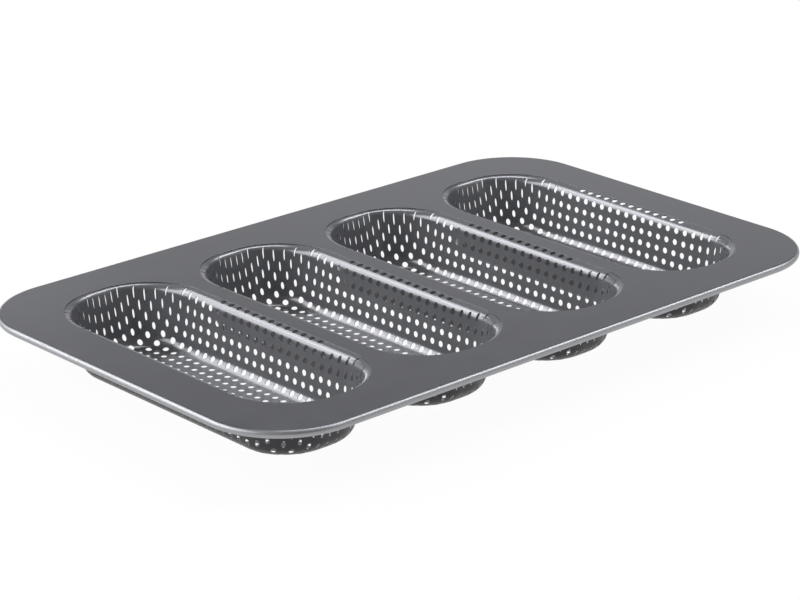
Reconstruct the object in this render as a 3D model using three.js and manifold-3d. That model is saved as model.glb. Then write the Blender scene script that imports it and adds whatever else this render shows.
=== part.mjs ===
// Mini baguette pan: a flat sheet-steel deck with a wired rim, and perforated moulds welded under its mouths.
// Millimetres, +Z up. X runs along the pan, from mould to mould, and Y along the moulds.
// The origin is under the pan's middle, on the plane that the mould floors stand on.
import * as THREE from "three";
import { mergeGeometries, mergeVertices } from "three/addons/utils/BufferGeometryUtils.js";
import Module from "manifold-3d";

const wasm = await Module();
wasm.setup();

// Driving dimensions of the moulds and their mouths
const mouldCount = 4;
const mouthLength = 189;
const mouthWidth = 76.4;
const mouthEndFlat = 6.4;
const mouldDepth = 31.8;
const mouldSheet = 0.5;
const sideDraft = THREE.MathUtils.degToRad(7.8);
const endDraft = THREE.MathUtils.degToRad(13);
const sideFloorRadius = 6.5;
const endFloorRadius = 9;
const sideLipRadius = 4.9;
const endLipRadius = 2.2;
const lipSetback = 0.2;

// Driving dimensions of the deck and its wired rim
const webWidth = 10.4;
const endMargin = 26.6;
const sideMargin = 26.5;
const deckCornerRadius = 44;
const deckSheet = 0.5;
const flangeGap = 1.6;
const wireDiameter = 2.6;
const wireClearance = 0.2;
const curlWrap = THREE.MathUtils.degToRad(300);

// Driving dimensions of the perforation. The solids carry every second hole of every second row,
// on the flat floor and the straight wall, and leave out the rest to stay light.
const holeDiameter = 3;
const holePitch = 6.23;
const holeShift = 0.4;
const holeStride = 2;

// Fineness of the round stretches
const cornerSteps = 6;
const filletSteps = 5;
const lipSteps = 4;
const curlSteps = 10;
const wireSides = 8;
const holeSides = 4;

// Outlines, heights and radii that follow from them
const mouldSpacing = mouthWidth + webWidth;
const deckLength = mouthWidth + (mouldCount - 1) * mouldSpacing + 2 * endMargin;
const deckWidth = mouthLength + 2 * sideMargin;
const mouthEndRadius = (mouthWidth - mouthEndFlat) / 2;
const flangeWidth = (webWidth - flangeGap) / 2;
const deckTop = mouldSheet + mouldDepth;
const deckUnderside = deckTop - deckSheet;
const curlBore = wireDiameter / 2 + wireClearance;
const curlRadius = curlBore + deckSheet;
const curlHeight = deckTop - curlRadius;

const coating = new THREE.MeshStandardMaterial({ color: 0x66666a, roughness: 0.35, metalness: 0.7 });
const bareWire = new THREE.MeshStandardMaterial({ color: 0x9a9a9c, roughness: 0.4, metalness: 1 });

// The points of a rounded rectangle, anticlockwise from above. Each keeps its corner's centre and its outward
// direction, so that an offset outline has the same points.
function roundedLoop(length, width, radius) {
  const points = [];
  for (let corner = 0; corner < 4; corner++) {
    const signX = corner === 0 || corner === 3 ? 1 : -1;
    const signY = corner < 2 ? 1 : -1;
    const centre = new THREE.Vector2(signX * (length / 2 - radius), signY * (width / 2 - radius));
    for (let step = 0; step <= cornerSteps; step++) {
      const angle = (corner + step / cornerSteps) * (Math.PI / 2);
      points.push({ centre, outward: new THREE.Vector2(Math.cos(angle), Math.sin(angle)), radius });
    }
  }
  return points;
}

function offsetPoint(point, offset) {
  return point.centre.clone().addScaledVector(point.outward, point.radius + offset);
}

// Vertices of a loop repeated at each level, where a level is an offset from the loop and a height.
function levelVertices(loop, levels) {
  return levels.flatMap(({ offset, z }) =>
    loop.flatMap((point) => {
      const { x, y } = offsetPoint(point, offset);
      return [x, y, z];
    }),
  );
}

// The band of triangles between one level and another.
function bandTriangles(loopSize, from, to) {
  const triangles = [];
  for (let j = 0; j < loopSize; j++) {
    const next = (j + 1) % loopSize;
    const [a, b] = [from * loopSize + j, from * loopSize + next];
    const [c, d] = [to * loopSize + next, to * loopSize + j];
    triangles.push(a, d, c, a, c, b);
  }
  return triangles;
}

function indexedGeometry(vertices, triangles) {
  const geometry = new THREE.BufferGeometry();
  geometry.setAttribute("position", new THREE.Float32BufferAttribute(vertices, 3));
  geometry.setIndex(triangles);
  return geometry;
}

// A closed section carried round a closed loop, as a wire or a curl is.
function ringGeometry(loop, section) {
  const triangles = section.flatMap((_, i) => bandTriangles(loop.length, i, (i + 1) % section.length));
  return indexedGeometry(levelVertices(loop, section), triangles);
}

// A point of a trough's level, which has an offset and a height of its own at the sides and at the ends
// and passes from one to the other round each corner.
function troughPoint({ centre, outward, radius }, { side, end }) {
  return new THREE.Vector3(
    centre.x + outward.x * (radius + side.offset),
    centre.y + outward.y * (radius + end.offset),
    THREE.MathUtils.lerp(side.z, end.z, outward.y ** 2),
  );
}

// A drawn shell: its levels run from the inner floor up, over the flange and back to the outer floor,
// and a flat cap closes each end.
function shellGeometry(loop, levels) {
  const triangles = [];
  for (let i = 0; i + 1 < levels.length; i++) {
    triangles.push(...bandTriangles(loop.length, i, i + 1));
  }
  const last = (levels.length - 1) * loop.length;
  const innerFloor = loop.map((point) => troughPoint(point, levels[0]));
  for (const [a, b, c] of THREE.ShapeUtils.triangulateShape(innerFloor, [])) {
    triangles.push(a, b, c);
    triangles.push(last + c, last + b, last + a);
  }
  const vertices = levels.flatMap((level) => loop.flatMap((point) => troughPoint(point, level).toArray()));
  return indexedGeometry(vertices, triangles);
}

// A closed geometry as a solid that can be joined and cut.
function solidOf(geometry) {
  const bare = new THREE.BufferGeometry();
  bare.setAttribute("position", geometry.getAttribute("position"));
  bare.setIndex(geometry.getIndex());
  const merged = mergeVertices(bare);
  const vertProperties = new Float32Array(merged.getAttribute("position").array);
  const triVerts = new Uint32Array(merged.getIndex().array);
  return new wasm.Manifold(new wasm.Mesh({ numProp: 3, vertProperties, triVerts }));
}

function geometryOf(solid) {
  const { vertProperties, triVerts } = solid.getMesh();
  return indexedGeometry(Array.from(vertProperties), Array.from(triVerts));
}

function evenSteps(from, to, steps) {
  return Array.from({ length: steps + 1 }, (_, i) => from + ((to - from) * i) / steps);
}

// Where each mould's middle lies along the pan.
const mouldPlaces = Array.from({ length: mouldCount }, (_, i) => (i - (mouldCount - 1) / 2) * mouldSpacing);
const mouthLoop = roundedLoop(mouthWidth, mouthLength, mouthEndRadius);
const rimLoop = roundedLoop(deckLength, deckWidth, deckCornerRadius);

// A point at an angle round the rim's curl, as an offset from the rim's outline and a height.
function onCurl(radius, angle) {
  return {
    offset: radius * Math.cos(angle) - curlRadius,
    z: curlHeight + radius * Math.sin(angle),
  };
}

// Deck: the flat sheet with a mouth over each mould, its edge curled down and under round the wire
function deckGeometry() {
  const outline = new THREE.Shape(rimLoop.map((point) => offsetPoint(point, -curlRadius)));
  for (const x of mouldPlaces) {
    const edge = mouthLoop.map((point) => offsetPoint(point, 0).add(new THREE.Vector2(x, 0)));
    outline.holes.push(new THREE.Path(edge));
  }
  const sheet = new THREE.ExtrudeGeometry(outline, { depth: deckSheet, bevelEnabled: false });
  sheet.translate(0, 0, deckUnderside);

  const angles = evenSteps(Math.PI / 2, Math.PI / 2 - curlWrap, curlSteps);
  const seam = -curlRadius - 2 * deckSheet;
  const curl = ringGeometry(rimLoop, [
    { offset: seam, z: deckTop },
    ...angles.map((angle) => onCurl(curlRadius, angle)),
    ...angles.toReversed().map((angle) => onCurl(curlBore, angle)),
    { offset: seam, z: deckUnderside },
  ]);
  return geometryOf(solidOf(sheet).add(solidOf(curl)));
}

// Rim wire: a round steel wire bent to the pan's outline, inside the curl
function wireGeometry() {
  const angles = evenSteps(Math.PI, -Math.PI, wireSides).slice(0, wireSides);
  return ringGeometry(rimLoop, angles.map((angle) => onCurl(wireDiameter / 2, angle)));
}

// Mould: a trough drawn from its own sheet, with a round lip and a flange that is welded under the deck.
// Its section is a bend up from the floor, a leaning wall and the lip, at a depth into the sheet from its
// inner face, and a share says how far round a bend or the lip the point is.
function troughSection(draft, floorRadius, lipRadius) {
  const wallAngle = Math.PI / 2 - draft;
  const bendRise = (lipRadius + floorRadius) * (1 - Math.cos(wallAngle));
  const bendReach = (lipRadius + floorRadius) * Math.sin(wallAngle);
  const wallLength = (deckUnderside - mouldSheet - bendRise) / Math.sin(wallAngle);
  const floorInset = lipSetback + bendReach + wallLength * Math.cos(wallAngle);
  const onFloorBend = (share, depth) => ({
    offset: (floorRadius + depth) * Math.sin(share * wallAngle) - floorInset,
    z: mouldSheet + floorRadius - (floorRadius + depth) * Math.cos(share * wallAngle),
  });
  const onLip = (share, depth) => ({
    offset: (depth - lipRadius) * Math.sin(share * wallAngle) - lipSetback,
    z: deckUnderside - lipRadius + (lipRadius - depth) * Math.cos(share * wallAngle),
  });
  return { onFloorBend, onLip, wallLength, floorInset, bendLength: floorRadius * wallAngle };
}

const sideSection = troughSection(sideDraft, sideFloorRadius, sideLipRadius);
const endSection = troughSection(endDraft, endFloorRadius, endLipRadius);

function troughLevel(onSection) {
  return { side: onSection(sideSection), end: onSection(endSection) };
}

function shellLevels() {
  const bend = (depth) => {
    const level = (share) => troughLevel((section) => section.onFloorBend(share, depth));
    return evenSteps(0, 1, filletSteps).map(level);
  };
  const lip = (depth) => {
    const level = (share) => troughLevel((section) => section.onLip(share, depth));
    return evenSteps(1, 0, lipSteps).map(level);
  };
  const flangeEdge = (z) => troughLevel(() => ({ offset: flangeWidth, z }));
  return [
    ...bend(0),
    ...lip(0),
    flangeEdge(deckUnderside),
    flangeEdge(deckUnderside - mouldSheet),
    ...lip(mouldSheet).reverse(),
    ...bend(mouldSheet).reverse(),
  ];
}

// The straight sides of the mouth, and so of every level below it, end at the corners of this core.
const coreHalfWidth = mouthWidth / 2 - mouthEndRadius;
const coreHalfLength = mouthLength / 2 - mouthEndRadius;
const holeSpacing = holeStride * holePitch;

// Places of the holes in a row along the mould, on both sides of its middle, up to a limit.
function rowPlaces(limit) {
  const first = Math.ceil((-limit - holeShift) / holeSpacing);
  const last = Math.floor((limit - holeShift) / holeSpacing);
  return Array.from({ length: last - first + 1 }, (_, i) => holeShift + (first + i) * holeSpacing);
}

// What a hole takes out of the sheet, standing well clear of both its faces.
function holePlug(place, direction) {
  const radius = holeDiameter / 2;
  const plugLength = 6 * mouldSheet;
  const plug = new THREE.CylinderGeometry(radius, radius, plugLength, holeSides);
  const turn = new THREE.Quaternion().setFromUnitVectors(new THREE.Vector3(0, 1, 0), direction);
  return plug.applyQuaternion(turn).translate(place.x, place.y, place.z);
}

// Floor holes: rows along the mould, the first half a pitch from its middle line, inside the floor's bend
function floorPlugs() {
  const plugs = [];
  const upright = new THREE.Vector3(0, 0, 1);
  const sideReach = mouthEndRadius - sideSection.floorInset - holeDiameter;
  const endReach = mouthEndRadius - endSection.floorInset - holeDiameter;
  for (let x = holePitch / 2; x <= coreHalfWidth + sideReach; x += holeSpacing) {
    const roundShare = Math.max(0, x - coreHalfWidth) / sideReach;
    const endRoom = endReach * Math.sqrt(1 - roundShare ** 2);
    for (const y of rowPlaces(coreHalfLength + endRoom)) {
      plugs.push(holePlug(new THREE.Vector3(x, y, mouldSheet / 2), upright));
      plugs.push(holePlug(new THREE.Vector3(-x, y, mouldSheet / 2), upright));
    }
  }
  return plugs;
}

// The wall's foot and top, in the middle of the sheet
const wallFoot = troughLevel((section) => section.onFloorBend(1, mouldSheet / 2));
const wallTop = troughLevel((section) => section.onLip(1, mouldSheet / 2));

// A hole through the wall, at an angle round a point of the mouth's core and at a share of the climb.
function wallPlug(x, y, angle, climb) {
  const onWall = (turn, share) => {
    const outward = new THREE.Vector2(Math.cos(angle + turn), Math.sin(angle + turn));
    const point = { centre: { x, y }, outward, radius: mouthEndRadius };
    return troughPoint(point, wallFoot).lerp(troughPoint(point, wallTop), share);
  };
  const along = onWall(0.01, climb).sub(onWall(-0.01, climb));
  const upward = onWall(0, 1).sub(onWall(0, 0));
  return holePlug(onWall(0, climb), along.cross(upward).normalize());
}

// Wall holes: the same rows counted on round the bend and up the wall, along its sides and round its ends
function wallPlugs() {
  const plugs = [];
  const footRun = mouthWidth / 2 - sideSection.floorInset + sideSection.bendLength;
  const lastRun = footRun + sideSection.wallLength - holeDiameter;
  const firstRow = Math.ceil(footRun / holePitch - 0.5);
  const endHoles = Math.round(((mouthEndRadius + wallFoot.side.offset) * Math.PI) / 2 / holeSpacing);
  for (let run = (firstRow + 0.5) * holePitch; run <= lastRun; run += holeSpacing) {
    const climb = (run - footRun) / sideSection.wallLength;
    for (const y of rowPlaces(coreHalfLength - holeDiameter)) {
      plugs.push(wallPlug(coreHalfWidth, y, 0, climb));
      plugs.push(wallPlug(-coreHalfWidth, y, Math.PI, climb));
    }
    for (let corner = 0; corner < 4; corner++) {
      const x = corner === 0 || corner === 3 ? coreHalfWidth : -coreHalfWidth;
      const y = corner < 2 ? coreHalfLength : -coreHalfLength;
      for (let i = 0; i < endHoles; i++) {
        plugs.push(wallPlug(x, y, (corner + (i + 0.5) / endHoles) * (Math.PI / 2), climb));
      }
    }
  }
  return plugs;
}

function mouldGeometry() {
  const shell = solidOf(shellGeometry(mouthLoop, shellLevels()));
  const plugs = solidOf(mergeGeometries([...floorPlugs(), ...wallPlugs()]));
  return geometryOf(shell.subtract(plugs));
}

function namedMesh(name, geometry, material) {
  const mesh = new THREE.Mesh(geometry, material);
  mesh.name = name;
  return mesh;
}

const pan = new THREE.Group();
pan.add(namedMesh("deck_plate", deckGeometry(), coating));
pan.add(namedMesh("rim_wire", wireGeometry(), bareWire));
mouldPlaces.forEach((x, i) => {
  const mould = namedMesh(`mould_${i + 1}`, mouldGeometry(), coating);
  mould.position.x = x;
  pan.add(mould);
});

export default pan;
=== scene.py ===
import math

import bpy
from mathutils import Matrix, Vector
from mathutils.geometry import delaunay_2d_cdt
from mathutils.kdtree import KDTree


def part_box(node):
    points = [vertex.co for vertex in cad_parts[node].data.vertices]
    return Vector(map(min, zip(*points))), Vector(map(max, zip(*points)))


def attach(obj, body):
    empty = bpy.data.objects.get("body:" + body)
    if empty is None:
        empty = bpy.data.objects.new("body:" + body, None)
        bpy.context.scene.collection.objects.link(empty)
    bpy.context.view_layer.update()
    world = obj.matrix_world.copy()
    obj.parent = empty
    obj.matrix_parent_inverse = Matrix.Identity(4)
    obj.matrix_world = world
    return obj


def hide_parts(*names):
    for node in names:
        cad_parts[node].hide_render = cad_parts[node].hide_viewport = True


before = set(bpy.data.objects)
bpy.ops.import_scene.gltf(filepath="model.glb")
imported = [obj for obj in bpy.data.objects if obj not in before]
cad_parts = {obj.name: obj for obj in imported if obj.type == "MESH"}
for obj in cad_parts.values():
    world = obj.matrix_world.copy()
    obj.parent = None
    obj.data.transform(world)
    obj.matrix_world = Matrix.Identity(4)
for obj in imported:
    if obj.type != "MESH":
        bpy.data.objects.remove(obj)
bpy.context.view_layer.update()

# Deck: one flat sheet of coated steel that the moulds hang from. Four mouths are cut in it, and its outer
# edge is curled down and under round a wire. The coating is a smooth grey, sprayed on and baked. A little
# way into the curl, its outer face is coloured lighter, as a painted highlight.
MM = 0.001
deck_low, deck_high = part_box("deck_plate")
deck_top = deck_high.z
deck_half_width = (deck_high.x - deck_low.x) / 2
deck_half_length = (deck_high.y - deck_low.y) / 2
deck_sheet = 0.5 * MM
deck_corner_radius = 44 * MM
deck_corner_steps, deck_side_step = 24, 12 * MM
deck_grey = (0.156, 0.159, 0.177)

curl_radius = 2 * MM
curl_wrap = math.radians(300)
curl_steps = 30
# A lighter grey for the curl's outer face: a painted highlight
curl_highlight_grey = (0.36, 0.364, 0.38)
curl_highlight_from = math.radians(68)

mould_names = ["mould_1", "mould_2", "mould_3", "mould_4"]
mould_places = [sum(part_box(name), Vector()).x / 2 for name in mould_names]
flange_low, flange_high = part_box(mould_names[0])
flange_width = 4.4 * MM
mouth_half_width = (flange_high.x - flange_low.x) / 2 - flange_width
mouth_half_length = (flange_high.y - flange_low.y) / 2 - flange_width
mouth_end_radius = 35 * MM
mouth_corner_steps, mouth_side_step = 32, 8 * MM
edge_round = 0.18 * MM

cloud_scale, cloud_detail = 60, 3
cloud_low, cloud_high = 0.3, 0.7
cloud_tint = 0.03
cloud_gloss = 0.015


def rounded_loop(half_width, half_length, radius, corner_steps, side_step):
    """A rounded rectangle, anticlockwise: pairs of a point on its core and the outward direction there."""
    core_x, core_y = half_width - radius, half_length - radius
    loop = []
    for corner in range(4):
        sign_x = 1 if corner in (0, 3) else -1
        sign_y = 1 if corner < 2 else -1
        core = Vector((sign_x * core_x, sign_y * core_y))
        for step in range(corner_steps + 1):
            angle = (corner + step / corner_steps) * math.pi / 2
            loop.append((core, Vector((math.cos(angle), math.sin(angle)))))
        side = core_x if corner in (0, 2) else core_y
        outward = loop[-1][1]
        forward = Vector((-outward.y, outward.x))
        side_steps = max(1, round(2 * side / side_step))
        for step in range(1, side_steps):
            loop.append((core + forward * (2 * side * step / side_steps), outward))
    return loop


def deck_outline(corner_steps, side_step):
    return rounded_loop(deck_half_width, deck_half_length, deck_corner_radius, corner_steps, side_step)


def mouth_outline(corner_steps, side_step):
    return rounded_loop(mouth_half_width, mouth_half_length, mouth_end_radius, corner_steps, side_step)


def on_loop(loop, reach, z):
    """The loop's points at a distance from its core, at one height."""
    return [(core + outward * reach).to_3d() + Vector((0, 0, z)) for core, outward in loop]


def tilted(loop, angle):
    """Directions that lean from straight outward (0) up to straight up (a quarter turn)."""
    return [Vector((*(outward * math.cos(angle)), math.sin(angle))) for _, outward in loop]


def fill_between(points, rings):
    """The triangles inside the first closed ring of points and outside the others."""
    whole_hull, same_point = 0, 1e-9
    places, _, triangles, sources, _, owners = delaunay_2d_cdt(points, [], rings, whole_hull, same_point)
    kept = [triangle for triangle, owner in zip(triangles, owners) if owner == [0]]
    return places, kept, sources


class Sheet:
    """A mesh gathered face by face, with the true surface's direction kept at each corner."""

    def __init__(self):
        self.points = []
        self.faces = []
        self.coats = []
        self.directions = []

    def add_points(self, points):
        first = len(self.points)
        self.points.extend(points)
        return list(range(first, first + len(points)))

    def add_face(self, corners, directions, coat=0):
        self.faces.append(corners)
        self.coats.append(coat)
        self.directions.extend(directions)

    def add_band(self, lower, upper, lower_directions, upper_directions, coat=0):
        """Quads between two closed rows of points."""
        count = len(lower)
        for i in range(count):
            j = (i + 1) % count
            corners = (lower[i], lower[j], upper[j], upper[i])
            directions = (lower_directions[i], lower_directions[j], upper_directions[j], upper_directions[i])
            self.add_face(corners, directions, coat)

    def mesh(self, name, *materials):
        mesh = bpy.data.meshes.new(name)
        mesh.from_pydata([tuple(point) for point in self.points], [], self.faces)
        mesh.polygons.foreach_set("use_smooth", [True] * len(mesh.polygons))
        mesh.normals_split_custom_set([tuple(direction) for direction in self.directions])
        for material in materials:
            mesh.materials.append(material)
        mesh.polygons.foreach_set("material_index", self.coats)
        return mesh


def placed(name, data):
    """A new object in the scene."""
    made = bpy.data.objects.new(name, data)
    bpy.context.collection.objects.link(made)
    return made


def new_material(name):
    material = bpy.data.materials.new(name)
    material.use_nodes = True
    return material, material.node_tree.nodes, material.node_tree.links


def linked_noise(nodes, links, scale, detail):
    """A noise in the piece's own space, its scale in lumps per metre."""
    place = nodes.new("ShaderNodeTexCoord")
    noise = nodes.new("ShaderNodeTexNoise")
    noise.inputs["Scale"].default_value = scale
    noise.inputs["Detail"].default_value = detail
    links.new(place.outputs["Object"], noise.inputs["Vector"])
    return noise


def coated_steel(name, colour, metallic, roughness):
    """Grey baked coating with fine metal flake, slightly cloudy in colour and gloss."""
    material, nodes, links = new_material(name)
    coat = nodes["Principled BSDF"]
    coat.inputs["Metallic"].default_value = metallic
    clouds = linked_noise(nodes, links, cloud_scale, cloud_detail)

    tint = nodes.new("ShaderNodeValToRGB")
    shades = ((cloud_low, 1 - cloud_tint), (cloud_high, 1 + cloud_tint))
    for element, (position, shade) in zip(tint.color_ramp.elements, shades):
        element.position = position
        element.color = [channel * shade for channel in colour] + [1]
    links.new(clouds.outputs["Fac"], tint.inputs["Fac"])
    links.new(tint.outputs["Color"], coat.inputs["Base Color"])

    gloss = nodes.new("ShaderNodeMapRange")
    gloss.inputs["From Min"].default_value = cloud_low
    gloss.inputs["From Max"].default_value = cloud_high
    gloss.inputs["To Min"].default_value = roughness - cloud_gloss
    gloss.inputs["To Max"].default_value = roughness + cloud_gloss
    links.new(clouds.outputs["Fac"], gloss.inputs["Value"])
    links.new(gloss.outputs["Result"], coat.inputs["Roughness"])
    return material


def add_curl(sheet):
    """Bends the rim down and under. Gives the rows where it leaves the flat top and the flat underside."""
    rim = deck_outline(deck_corner_steps, deck_side_step)
    angles = [math.pi / 2 - curl_wrap * step / curl_steps for step in range(curl_steps + 1)]
    skins = []
    for radius, facing in ((curl_radius, 1), (curl_radius - deck_sheet, -1)):
        rows = []
        for angle in angles:
            reach = deck_corner_radius - curl_radius + radius * math.cos(angle)
            points = on_loop(rim, reach, deck_top - curl_radius + radius * math.sin(angle))
            rows.append((sheet.add_points(points), [facing * lean for lean in tilted(rim, angle)]))
        skins.append(rows)
    outer, inner = skins
    # The curl's outer face, a little way past the flat top, takes the lighter coat: a painted highlight
    for angle, (upper, upper_lean), (lower, lower_lean) in zip(angles, outer, outer[1:]):
        sheet.add_band(lower, upper, lower_lean, upper_lean, coat=int(angle < curl_highlight_from))
    for (upper, upper_lean), (lower, lower_lean) in zip(inner, inner[1:]):
        sheet.add_band(upper, lower, upper_lean, lower_lean)
    cut = tilted(rim, angles[-1] - math.pi / 2)
    sheet.add_band(inner[-1][0], outer[-1][0], cut, cut)
    return outer[0][0], inner[0][0]


def add_mouth(sheet, x):
    """Cuts a mouth, slightly rounded over at the top. Gives its rows on the flat top and the underside."""
    mouth = mouth_outline(mouth_corner_steps, mouth_side_step)
    shift = Vector((x, 0, 0))
    rows = []
    for turn in (math.pi / 2, math.pi / 4, 0):
        reach = mouth_end_radius + edge_round * (1 - math.cos(turn))
        points = on_loop(mouth, reach, deck_top - edge_round * (1 - math.sin(turn)))
        lean = [Vector((-d.x, -d.y, d.z)) for d in tilted(mouth, turn)]
        rows.append((sheet.add_points([point + shift for point in points]), lean))
    underside = on_loop(mouth, mouth_end_radius, deck_top - deck_sheet)
    bottom = sheet.add_points([point + shift for point in underside])
    rows.append((bottom, rows[-1][1]))
    for (upper, upper_lean), (lower, lower_lean) in zip(rows, rows[1:]):
        sheet.add_band(upper, lower, upper_lean, lower_lean)
    return rows[0][0], bottom


def add_flat(sheet, rows, facing):
    """The flat sheet between the curl's row, which comes first, and the mouths' rows."""
    ids = [corner for row in rows for corner in row]
    flat = [sheet.points[corner].to_2d() for corner in ids]
    rings = []
    first = 0
    for row in rows:
        rings.append(list(range(first, first + len(row))))
        first += len(row)
    _, triangles, _ = fill_between(flat, rings)
    for triangle in triangles:
        corners = [ids[i] for i in triangle]
        if facing.z < 0:
            corners.reverse()
        sheet.add_face(corners, [facing] * 3)


def deck_mesh():
    sheet = Sheet()
    edges = [add_curl(sheet)] + [add_mouth(sheet, x) for x in mould_places]
    tops, undersides = zip(*edges)
    add_flat(sheet, tops, Vector((0, 0, 1)))
    add_flat(sheet, undersides, Vector((0, 0, -1)))
    flat_coat = coated_steel("deck_coating", deck_grey, metallic=0.8, roughness=0.3)
    # The curl's lighter coat is a painted highlight, brighter than the deck's grey
    curl_highlight_coat = coated_steel("curl_painted_highlight", curl_highlight_grey, metallic=0.85, roughness=0.45)
    return sheet.mesh("deck", flat_coat, curl_highlight_coat)


deck = placed("deck", deck_mesh())
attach(deck, "root")
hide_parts("deck_plate")

# Rim wire: a round steel wire bent to the pan's outline, gripped inside the curled edge to stiffen it.
# Only a sliver of it shows from below, at the curl's open side.
wire_low, wire_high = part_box("rim_wire")
wire_radius = (wire_high.z - wire_low.z) / 2
wire_sides = 20
wire_corner_steps, wire_side_step = 16, 20 * MM
wire_grey = (0.45, 0.45, 0.46)
scratch_scale, scratch_detail = 1200, 4
scratch_gloss_low, scratch_gloss_high = 0.3, 0.55


def bare_steel(name, colour):
    """Drawn wire: dull bright metal, finely scratched."""
    material, nodes, links = new_material(name)
    steel = nodes["Principled BSDF"]
    steel.inputs["Base Color"].default_value = (*colour, 1)
    steel.inputs["Metallic"].default_value = 1
    scratches = linked_noise(nodes, links, scratch_scale, scratch_detail)
    gloss = nodes.new("ShaderNodeMapRange")
    gloss.inputs["To Min"].default_value = scratch_gloss_low
    gloss.inputs["To Max"].default_value = scratch_gloss_high
    links.new(scratches.outputs["Fac"], gloss.inputs["Value"])
    links.new(gloss.outputs["Result"], steel.inputs["Roughness"])
    return material


def wire_mesh():
    rim = deck_outline(wire_corner_steps, wire_side_step)
    sheet = Sheet()
    rows = []
    for step in range(wire_sides):
        angle = 2 * math.pi * step / wire_sides
        reach = deck_corner_radius - curl_radius + wire_radius * math.cos(angle)
        points = on_loop(rim, reach, deck_top - curl_radius + wire_radius * math.sin(angle))
        rows.append((sheet.add_points(points), tilted(rim, angle)))
    for (lower, lower_lean), (upper, upper_lean) in zip(rows, rows[1:] + rows[:1]):
        sheet.add_band(lower, upper, lower_lean, upper_lean)
    return sheet.mesh("rim_wire_ring", bare_steel("wire_steel", wire_grey))


wire = placed("rim_wire_ring", wire_mesh())
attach(wire, "root")
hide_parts("rim_wire")

# Moulds: four equal troughs, each drawn from perforated steel sheet and coated grey, with a round lip and a
# flange that is welded under the deck. Their outside is coloured far darker than the inside, as painted
# shade under and between them. Drawing the flat sheet in has squeezed its holes into slits round the ends,
# so the holes are set out on the flat blank and carried to their place.
mould_sheet = 0.4 * MM
mould_corner_steps, mould_side_step = 24, 3.1 * MM
mould_grey = (0.198, 0.201, 0.218)
# The outer skin's near-black grey is painted shade under and between the moulds
mould_outside_shade_grey = (0.04, 0.04, 0.043)
lip_top = deck_top - deck_sheet
lip_setback = 0.2 * MM
side_draft, side_floor_radius, side_lip_radius = math.radians(7.8), 6.5 * MM, 4.9 * MM
end_draft, end_floor_radius, end_lip_radius = math.radians(13), 9 * MM, 2.2 * MM
core_x = mouth_half_width - mouth_end_radius
core_y = mouth_half_length - mouth_end_radius

# A stage counts along the section: up to 1 is the floor's bend, to 2 the wall, to 3 the lip, to 4 the flange
bend_steps, wall_steps, lip_steps = 8, 6, 8
flange_start, flange_end = 3, 4
last_side_hole, last_end_hole = 2.9, 2

hole_radius = 1.65 * MM
hole_pitch = 6.23 * MM
hole_shift_across, hole_shift_along = -1.77 * MM, 0.35 * MM
hole_columns, hole_rows = 11, 20
hole_sides = 12
hole_give = 2.5
hole_clearance = 1.3

# How the draw stretches the blank up the walls and squeezes it round the ends
wall_stretch = 0.012
end_stretch_length = 76 * MM
end_stretch_start, end_stretch_end = -26 * MM, 38 * MM
squeeze_start, squeeze_end = -20 * MM, 30 * MM


def mix(a, b, share):
    return a + (b - a) * share


def trough_section(draft, floor_radius, lip_radius):
    """Where the floor ends, how long bend, wall, lip and flange are, and how far out and up a stage is."""
    lean = math.pi / 2 - draft
    both_radii = floor_radius + lip_radius
    wall = (lip_top - mould_sheet - both_radii * (1 - math.cos(lean))) / math.sin(lean)
    flange = lip_setback + flange_width
    floor_reach = mouth_end_radius - lip_setback - both_radii * math.sin(lean) - wall * math.cos(lean)

    def at(stage):
        bend, climb, over, flat = (min(max(stage - first, 0), 1) for first in range(flange_end))
        reach = floor_reach + floor_radius * math.sin(lean * bend) + wall * climb * math.cos(lean)
        reach += flange * flat
        reach += lip_radius * (math.sin(lean) - math.sin(lean * (1 - over)))
        z = mould_sheet + floor_radius * (1 - math.cos(lean * bend)) + wall * climb * math.sin(lean)
        z += lip_radius * (math.cos(lean * (1 - over)) - math.cos(lean))
        return reach, z

    return floor_reach, (floor_radius * lean, wall, lip_radius * lean, flange), at


side_floor, side_lengths, side_at = trough_section(side_draft, side_floor_radius, side_lip_radius)
end_floor, end_lengths, end_at = trough_section(end_draft, end_floor_radius, end_lip_radius)


def section_lengths(angle):
    """The lengths of the section's stages at an angle round the corner, from the side's to the end's."""
    share = math.sin(angle) ** 2
    return [mix(*pair, share) for pair in zip(side_lengths, end_lengths)]


def stage_of(run, angle):
    """The stage at a distance along the section from the floor's edge, at an angle round the corner."""
    for stage, length in enumerate(section_lengths(angle)):
        if run <= length or stage == flange_start:
            return stage + run / length
        run -= length


def run_of(stage, angle):
    """The distance along the section from the floor's edge to a stage."""
    lengths = section_lengths(angle)
    return sum(length * min(max(stage - first, 0), 1) for first, length in enumerate(lengths))


def past_floor(x, y):
    """How far past the floor's edge a point of the flat lies, and its angle round the corner."""
    across, along = abs(x) - core_x, abs(y) - core_y
    if along <= 0:
        return across - side_floor, 0
    if across <= 0:
        return along - end_floor, math.pi / 2

    def outside(run):
        return (across / (side_floor + run)) ** 2 + (along / (end_floor + run)) ** 2 > 1

    run, halvings = 0, 40
    if outside(run):
        low, high = 0, across + along
        for _ in range(halvings):
            run = (low + high) / 2
            if outside(run):
                low = run
            else:
                high = run
    return run, math.atan2(along / (end_floor + run), across / (side_floor + run))


def unrolled(core, run, angle):
    """The place on the unrolled section, from the nearest point of the core."""
    return core + Vector(((side_floor + run) * math.cos(angle), (end_floor + run) * math.sin(angle)))


def ramp(value, start, end):
    """A smooth rise from 0 at the start to 1 at the end."""
    share = min(1, max(0, (value - start) / (end - start)))
    return share * share * (3 - 2 * share)


def ramp_sum(value, start, end):
    """The area under that rise up to a value."""
    share = min(1, max(0, (value - start) / (end - start)))
    return (end - start) * (share**3 - share**4 / 2) + max(0, value - end)


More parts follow.
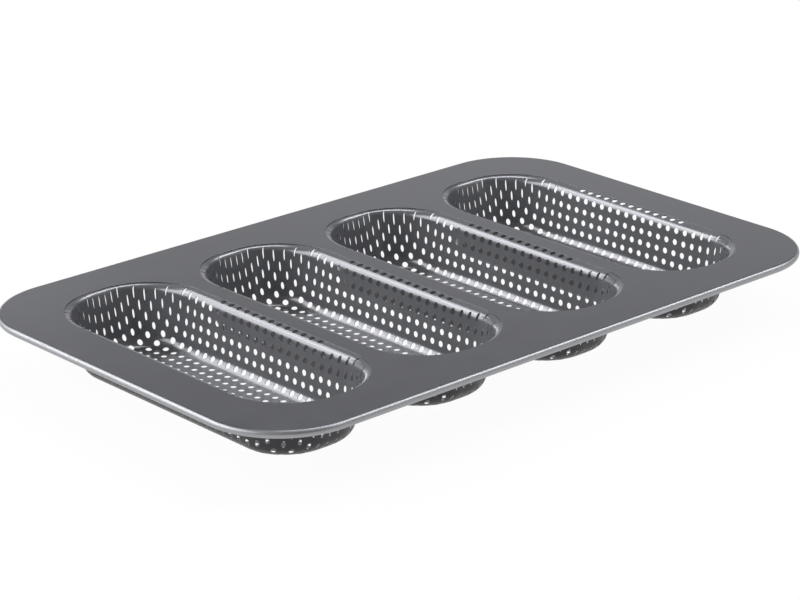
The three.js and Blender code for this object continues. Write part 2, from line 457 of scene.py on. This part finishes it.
def drawn(x, y):
    """Where the draw carries a point of the flat blank, on the section unrolled, and its two stretches."""
    run, angle = past_floor(x, y)
    if run <= 0:
        return Vector((x, y)), 1, 1
    flat_radius = (side_floor + end_floor) / 2 + run
    past = flat_radius * angle + min(0, abs(y) - core_y) + max(0, core_x - abs(x)) * (angle > 0)
    end_share = ramp(past, end_stretch_start, end_stretch_end)
    up_stretch = 1 + 3 * end_share * (run / end_stretch_length) ** 2
    run += end_share * run**3 / end_stretch_length**2 + (1 - end_share) * wall_stretch * run

    stage = stage_of(run, angle)
    radius = (side_at(stage)[0] + end_at(stage)[0]) / 2
    squeeze = (flat_radius - radius) * math.pi / 2
    squeeze /= ramp_sum(flat_radius * math.pi / 2 + core_x, squeeze_start, squeeze_end)
    round_stretch = 1 - squeeze * ramp(past, squeeze_start, squeeze_end)
    past -= squeeze * ramp_sum(past, squeeze_start, squeeze_end)
    turn = min(max(past / radius, 0), math.pi / 2)
    core = Vector((core_x - max(0, past - radius * math.pi / 2), core_y + min(past, 0)))
    place = unrolled(core, run, turn)
    return Vector((math.copysign(place.x, x), math.copysign(place.y, y))), up_stretch, round_stretch


def hole_outline(x, y):
    """A punched hole, as the draw leaves it. Holes give way more than the sheet between them."""
    _, angle = past_floor(x, y)
    out = Vector((math.copysign(math.cos(angle), x), math.copysign(math.sin(angle), y)))
    _, up_stretch, round_stretch = drawn(x, y)
    points = []
    for side in range(hole_sides):
        turn = 2 * math.pi * side / hole_sides
        up = hole_radius * up_stretch * math.cos(turn)
        sideways = hole_radius * round_stretch**hole_give * math.sin(turn)
        points.append(drawn(x + out.x * up - out.y * sideways, y + out.y * up + out.x * sideways)[0])
    return points


def middle_of(outline):
    return sum(outline, Vector((0, 0))) / len(outline)


def hole_outlines():
    """The holes that end up below the deck's mouth. Round the ends they stop at the foot of the lip."""
    outlines = []
    for column in range(-hole_columns, hole_columns + 1):
        for row in range(-hole_rows, hole_rows + 1):
            across = hole_shift_across + column * hole_pitch
            outline = hole_outline(across, hole_shift_along + row * hole_pitch)
            run, angle = past_floor(*middle_of(outline))
            if stage_of(run, angle) < mix(last_side_hole, last_end_hole, math.sin(angle) ** 2):
                outlines.append(outline)
    return outlines


def inside(place, outline, centre, growth):
    """Whether a point lies in an outline grown about its centre."""
    grown = [centre + (point - centre) * growth for point in outline]
    crossings = 0
    for a, b in zip(grown, grown[1:] + grown[:1]):
        if (a.y > place.y) != (b.y > place.y):
            crossings += place.x < a.x + (b.x - a.x) * (place.y - a.y) / (b.y - a.y)
    return crossings % 2 == 1


def section_row(mouth, stage):
    """A row of unrolled points round the mould, at one stage of its section."""
    row = []
    for core, out in mouth:
        angle = math.atan2(out.y, out.x)
        row.append(unrolled(core, run_of(stage, angle), angle))
    return row


def points_between_holes(mouth, outlines):
    """Rows of points along the bends and the wall, where no hole is in the way."""
    centres = [middle_of(outline) for outline in outlines]
    finder = KDTree(len(centres))
    for i, centre in enumerate(centres):
        finder.insert(centre.to_3d(), i)
    finder.balance()
    stages = [0]
    for first, steps in enumerate((bend_steps, wall_steps, lip_steps)):
        stages += [first + step / steps for step in range(1, steps + 1)]
    points = []
    for stage in stages:
        for place in section_row(mouth, stage):
            _, nearest, _ = finder.find(place.to_3d())
            if not inside(place, outlines[nearest], centres[nearest], hole_clearance):
                points.append(place)
    return points


def on_mould(place):
    """The point on the inner face and the face's direction there, for an unrolled point."""
    run, angle = past_floor(*place)
    if run <= 0:
        return Vector((place.x, place.y, mould_sheet)), Vector((0, 0, 1))

    def at(stage, angle):
        (side_reach, side_z), (end_reach, end_z) = side_at(stage), end_at(stage)
        z = mix(side_z, end_z, math.sin(angle) ** 2)
        return Vector((side_reach * math.cos(angle), end_reach * math.sin(angle), z))

    stage = stage_of(run, angle)
    nudge = 1e-4
    up = at(stage + nudge, angle) - at(stage - nudge, angle)
    along = at(stage, angle + nudge) - at(stage, angle - nudge)
    core = Vector((min(abs(place.x), core_x), min(abs(place.y), core_y), 0))
    signs = Vector((math.copysign(1, place.x), math.copysign(1, place.y), 1))
    return (core + at(stage, angle)) * signs, up.cross(along).normalized() * signs


def hole_wall(middle, points, directions):
    """The directions of a hole's cut edge, which look across the hole."""
    walls = []
    for point, direction in zip(points, directions):
        inward = middle - point
        walls.append((inward - direction * inward.dot(direction)).normalized())
    return walls


def mould_mesh():
    mouth = mouth_outline(mould_corner_steps, mould_side_step)
    outlines = hole_outlines()
    flats = [point for outline in outlines for point in outline]
    rings = [list(range(i * hole_sides, (i + 1) * hole_sides)) for i in range(len(outlines))]
    flats += points_between_holes(mouth, outlines)
    edge = list(range(len(flats), len(flats) + len(mouth)))
    flats += section_row(mouth, flange_end)
    places, triangles, sources = fill_between(flats, [edge] + rings)
    new_id = {old: new for new, olds in enumerate(sources) for old in olds}

    # The inner and outer skins
    sheet = Sheet()
    faces = [on_mould(place) for place in places]
    directions = [direction for _, direction in faces]
    backs = [-direction for direction in directions]
    inner = sheet.add_points([point for point, _ in faces])
    outer = sheet.add_points([point - direction * mould_sheet for point, direction in faces])
    for triangle in triangles:
        sheet.add_face([inner[i] for i in triangle], [directions[i] for i in triangle])
        turned = triangle[::-1]
        sheet.add_face([outer[i] for i in turned], [backs[i] for i in turned], coat=1)

    # The cut edges of the flange and of the holes
    rim = [new_id[i] for i in edge]
    outward = [out.to_3d() for _, out in mouth]
    sheet.add_band([outer[i] for i in rim], [inner[i] for i in rim], outward, outward)
    for ring in rings:
        ids = [new_id[i] for i in ring]
        points = [sheet.points[inner[i]] for i in ids]
        middle = sum(points, Vector()) / hole_sides
        walls = hole_wall(middle, points, [directions[i] for i in ids])
        sheet.add_band([inner[i] for i in ids], [outer[i] for i in ids], walls, walls)
    inside_coat = coated_steel("mould_coating", mould_grey, metallic=0.52, roughness=0.23)
    # The outer skin's dark coat is painted shade under and between the moulds
    outside_shade_coat = coated_steel("mould_outside_painted_shade", mould_outside_shade_grey, metallic=0.4, roughness=0.35)
    return sheet.mesh("mould_trough_1", inside_coat, outside_shade_coat)


trough = mould_mesh()
for number, (node, x) in enumerate(zip(mould_names, mould_places), 1):
    mould = placed(f"mould_trough_{number}", trough)
    mould.location.x = x
    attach(mould, "root")
    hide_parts(node)

# Studio: a plain floor just under the pan, which keeps a faint shadow, in an even grey room.
# For the rays of a direct view or a reflection, the floor is nearly pure white.
floor_half = 5.0
floor_gap = 0.3 * MM
floor_paint = (0.85, 0.85, 0.85, 1)
floor_white = (1, 1, 1, 1)
white_share = 0.96
room_grey = (0.5, 0.5, 0.5, 1)
room_strength = 0.42


def white_floor():
    material, nodes, links = new_material("studio_white")
    nodes.clear()
    paint = nodes.new("ShaderNodeBsdfDiffuse")
    paint.inputs["Color"].default_value = floor_paint
    glow = nodes.new("ShaderNodeEmission")
    glow.inputs["Color"].default_value = floor_white
    ray = nodes.new("ShaderNodeLightPath")
    seen = ray.outputs["Is Camera Ray"]
    for way in ("Is Glossy Ray", "Is Transmission Ray"):
        either = nodes.new("ShaderNodeMath")
        either.operation = "MAXIMUM"
        links.new(seen, either.inputs[0])
        links.new(ray.outputs[way], either.inputs[1])
        seen = either.outputs["Value"]
    share = nodes.new("ShaderNodeMath")
    share.operation = "MULTIPLY"
    share.inputs[1].default_value = white_share
    links.new(seen, share.inputs[0])
    surface = nodes.new("ShaderNodeMixShader")
    links.new(share.outputs["Value"], surface.inputs["Fac"])
    links.new(paint.outputs["BSDF"], surface.inputs[1])
    links.new(glow.outputs["Emission"], surface.inputs[2])
    end = nodes.new("ShaderNodeOutputMaterial")
    links.new(surface.outputs["Shader"], end.inputs["Surface"])
    return material


def floor_mesh():
    mesh = bpy.data.meshes.new("studio_floor")
    signs = ((-1, -1), (1, -1), (1, 1), (-1, 1))
    corners = [(x * floor_half, y * floor_half, -floor_gap) for x, y in signs]
    mesh.from_pydata(corners, [], [(0, 1, 2, 3)])
    mesh.materials.append(white_floor())
    return mesh


placed("studio_floor", floor_mesh())

world = bpy.data.worlds.new("studio_room")
world.use_nodes = True
room = world.node_tree.nodes["Background"]
room.inputs["Color"].default_value = room_grey
room.inputs["Strength"].default_value = room_strength
bpy.context.scene.world = world


# Lights: soft boxes aimed at the pan, in metres and watts. The wide one on the left lights the trough walls,
# the high ones draw the lines along the lips and the curl, and the dim low ones show in the deck.
def soft_box(name, place, width, height, power):
    light = bpy.data.lights.new(name, "AREA")
    light.shape = "RECTANGLE"
    light.size = width
    light.size_y = height
    light.energy = power
    lamp = placed(name, light)
    lamp.location = place
    lamp.rotation_euler = (-Vector(place)).to_track_quat("-Z", "Y").to_euler()


soft_box("left_high", (-0.43, 1.04, 1.05), width=1.0, height=0.36, power=5)
soft_box("left_wide", (-1.35, 0.72, 0.95), width=2.2, height=1.0, power=24)
soft_box("left_low", (-0.88, 1.36, 0.45), width=2.2, height=0.7, power=4)
soft_box("right_low", (1.1, -1.1, 0.5), width=1.6, height=0.8, power=2.4)
soft_box("back_left", (0.45, 1.5, 0.13), width=0.7, height=0.2, power=1.8)
soft_box("right_high", (1.0, -0.3, 1.15), width=0.7, height=0.7, power=10)
soft_box("top", (0.45, 0.25, 1.35), width=0.8, height=0.4, power=7)
soft_box("back_low", (0.9, 0.98, 0.3), width=1.8, height=0.5, power=1.4)

# Camera: at the photograph's angle, with a long lens
azimuth = math.radians(-42.286)
elevation = math.radians(20.653)
roll = math.radians(-0.308)
distance = 1428.16 * MM
aim = Vector((-27.21 * MM, -22.45 * MM, deck_top))
focal_pixels = 2822.19
image_width = 800
sensor_width = 36

lens = bpy.data.cameras.new("camera")
lens.sensor_fit = "HORIZONTAL"
lens.sensor_width = sensor_width
lens.lens = focal_pixels / image_width * sensor_width
camera = placed("camera", lens)
back = Vector((
    math.sin(azimuth) * math.cos(elevation),
    -math.cos(azimuth) * math.cos(elevation),
    math.sin(elevation),
))
level = Vector((math.cos(azimuth), math.sin(azimuth), 0))
upright = back.cross(level)
right = math.cos(roll) * level + math.sin(roll) * upright
top = back.cross(right)
turn = Matrix((right, top, back)).transposed().to_4x4()
camera.matrix_world = Matrix.Translation(aim + back * distance) @ turn
bpy.context.scene.camera = camera
bpy.context.scene.view_settings.view_transform = "Standard"
